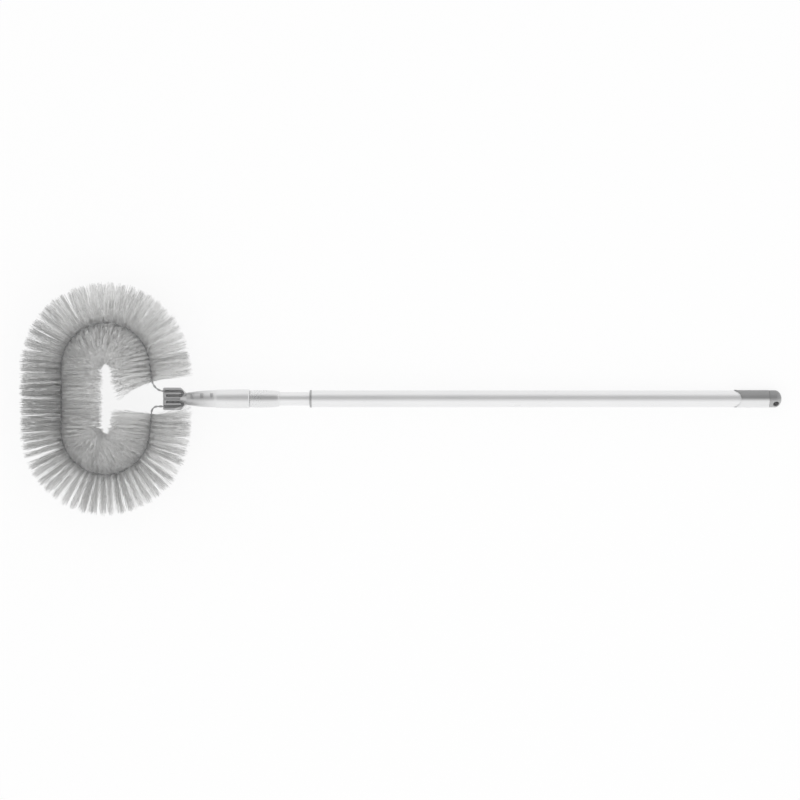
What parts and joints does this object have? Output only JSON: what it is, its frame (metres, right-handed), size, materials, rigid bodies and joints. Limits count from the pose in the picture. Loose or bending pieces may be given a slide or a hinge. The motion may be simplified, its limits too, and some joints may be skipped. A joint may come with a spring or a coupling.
{
  "type": "cobweb brush",
  "caption": "Oval twisted-wire cobweb brush on a twist-lock telescopic pole with a grip and a hanging hole.",
  "frame": {"origin": "centre of the hanging hole in the end cap, on the pole's axis", "axes": "+X along the pole towards the end cap, with the brush at -X; +Z square to the plane of the wire loop; +Y across the loop, on the side of the longer lead-in bend"},
  "size_m": [1.1317, 0.3415, 0.1195],
  "materials": {
    "tube_aluminium": "satin anodised, drawn lengthwise",
    "collar_plastic": "moulded, smooth",
    "grip_plastic": "moulded, satin",
    "cap_plastic": "moulded, fine grain",
    "cone_plastic": "moulded, satin",
    "socket_plastic": "moulded, satin",
    "lock_plastic": "moulded",
    "steel": "zinc plated",
    "brush_wire": "galvanised, twisted",
    "bristle": "fine filaments"
  },
  "bodies": {
    "pole": {"outer_tube": "tube_aluminium", "mouth_collar": "collar_plastic", "end_grip": "grip_plastic", "hanger_cap": "cap_plastic"},
    "expander": {"lock_sleeve": "lock_plastic"},
    "wedge": {"wedge_nut": "lock_plastic"},
    "inner_pole": {"inner_tube": "tube_aluminium", "pole_cone": "cone_plastic", "lock_spindle": "lock_plastic", "spindle_pin": "steel", "spindle_stop": "steel"},
    "brush_head": {"brush_socket": "socket_plastic", "wire_loop": "brush_wire", "bristles_01": "bristle", "bristles_02": "bristle", "bristles_03": "bristle", "bristles_04": "bristle", "bristles_05": "bristle", "bristles_06": "bristle", "bristles_07": "bristle", "bristles_08": "bristle", "bristles_09": "bristle", "bristles_10": "bristle", "bristles_11": "bristle", "bristles_12": "bristle", "bristles_13": "bristle", "bristles_14": "bristle"}
  },
  "joints": [
    {"name": "pole_extend", "type": "slide", "parent": "pole", "child": "expander", "axis": [-1, 0, 0], "range_m": [-0.04, 0.48]},
    {"name": "pole_twist", "type": "hinge", "parent": "expander", "child": "inner_pole", "pos_m": [-0.125, 0, 0], "axis": [1, 0, 0], "range_deg": [0, 270]},
    {"name": "wedge_travel", "type": "slide", "parent": "expander", "child": "wedge", "axis": [-1, 0, 0], "range_m": [0, 0.0031]},
    {"name": "head_release", "type": "slide", "parent": "inner_pole", "child": "brush_head", "axis": [-1, 0, 0], "range_m": [0, 0.08]}
  ],
  "couplings": [
    {"joint": "wedge_travel", "follows": "pole_twist", "m_per_rad": 0.00063662}
  ]
}
